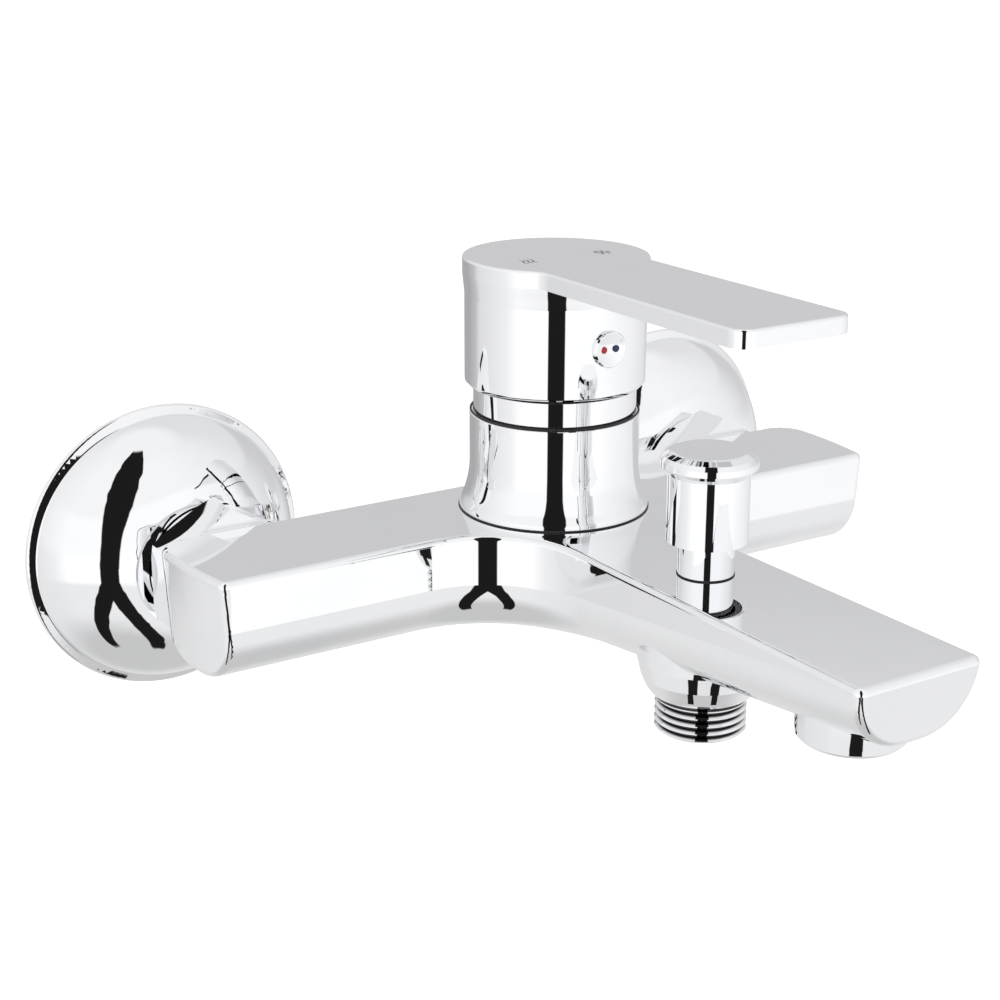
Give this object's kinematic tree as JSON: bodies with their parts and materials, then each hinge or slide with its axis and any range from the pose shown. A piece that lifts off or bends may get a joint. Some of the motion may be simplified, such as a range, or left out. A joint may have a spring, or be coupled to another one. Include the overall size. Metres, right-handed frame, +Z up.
{
  "type": "wall mounted bath faucet",
  "caption": "Single-lever wall mixer for a bath: flat-topped bar on two wall unions, flat spout with aerator, pull-up diverter knob and threaded hose outlet below.",
  "frame": {"origin": "on the finished wall, midway between the two supply connections", "axes": "+X along the wall to the viewer's right, +Y into the wall, +Z up; the spout points along -Y"},
  "size_m": [0.229, 0.2109, 0.1128],
  "materials": {
    "chrome": "polished chrome plate",
    "brass": "turned",
    "rubber": "moulded",
    "steel": "satin",
    "white_plastic": "moulded",
    "black_plastic": "moulded",
    "ceramic": "lapped alumina",
    "hot_mark": "gloss",
    "cold_mark": "gloss"
  },
  "bodies": {
    "faucet": {"aerator_housing": "chrome", "aerator_insert": "white_plastic", "aerator_screen": "white_plastic", "aerator_washer": "rubber", "cartridge_base": "white_plastic", "cartridge_base_seals": "rubber", "cartridge_housing": "white_plastic", "cartridge_nut": "brass", "ceramic_disc_fixed": "ceramic", "check_valve_body": "white_plastic", "cover_sleeve": "chrome", "diverter_bonnet": "chrome", "diverter_bonnet_cap": "chrome", "diverter_seat_ring": "brass", "diverter_stem_seal": "rubber", "dome_ring": "chrome", "inlet_tail_left": "brass", "inlet_tail_right": "brass", "mixer_body": "chrome", "rosette_left": "chrome", "rosette_right": "chrome", "s_union_left": "chrome", "s_union_right": "chrome", "shower_outlet": "chrome", "shower_outlet_seal": "rubber", "strainer_left": "steel", "strainer_right": "steel", "union_nut_left": "chrome", "union_nut_right": "chrome", "union_washer_left": "rubber", "union_washer_right": "rubber"},
    "turntable": {"cartridge_guide": "white_plastic", "spindle_pin": "steel"},
    "lever": {"cartridge_spindle": "steel", "lever_handle": "chrome", "handle_grub_screw": "steel", "indicator_plug": "chrome", "hot_dot": "hot_mark", "cold_dot": "cold_mark"},
    "disc_slide": {"disc_carrier": "white_plastic", "ceramic_disc_moving": "ceramic"},
    "diverter": {"diverter_knob": "chrome", "diverter_knob_core": "black_plastic", "diverter_stem": "brass", "diverter_valve_plate": "brass", "diverter_valve_seals": "rubber", "diverter_spring": "steel"},
    "check_valve": {"check_poppet": "white_plastic", "check_spring": "steel"}
  },
  "joints": [
    {"name": "temperature", "type": "hinge", "parent": "faucet", "child": "turntable", "pos_m": [0, -0.061, 0.03], "axis": [0, 0, 1], "range_deg": [-45, 45]},
    {"name": "flow", "type": "hinge", "parent": "turntable", "child": "lever", "pos_m": [0, -0.061, 0.03], "axis": [-1, 0, 0], "range_deg": [0, 20]},
    {"name": "disc_shift", "type": "slide", "parent": "turntable", "child": "disc_slide", "axis": [0, -1, 0], "range_m": [0, 0.00275]},
    {"name": "diverter_lift", "type": "slide", "parent": "faucet", "child": "diverter", "axis": [0, 0, 1], "range_m": [0, 0.0064], "stiffness_N_per_m": 150, "springref_m": -0.004, "deforming": ["diverter_spring"]},
    {"name": "check_valve_travel", "type": "slide", "parent": "faucet", "child": "check_valve", "axis": [0, 0, -1], "range_m": [0, 0.002], "stiffness_N_per_m": 30, "springref_m": -0.002, "deforming": ["check_spring"]}
  ],
  "couplings": [
    {"joint": "disc_shift", "follows": "flow", "m_per_rad": 0.007838}
  ]
}
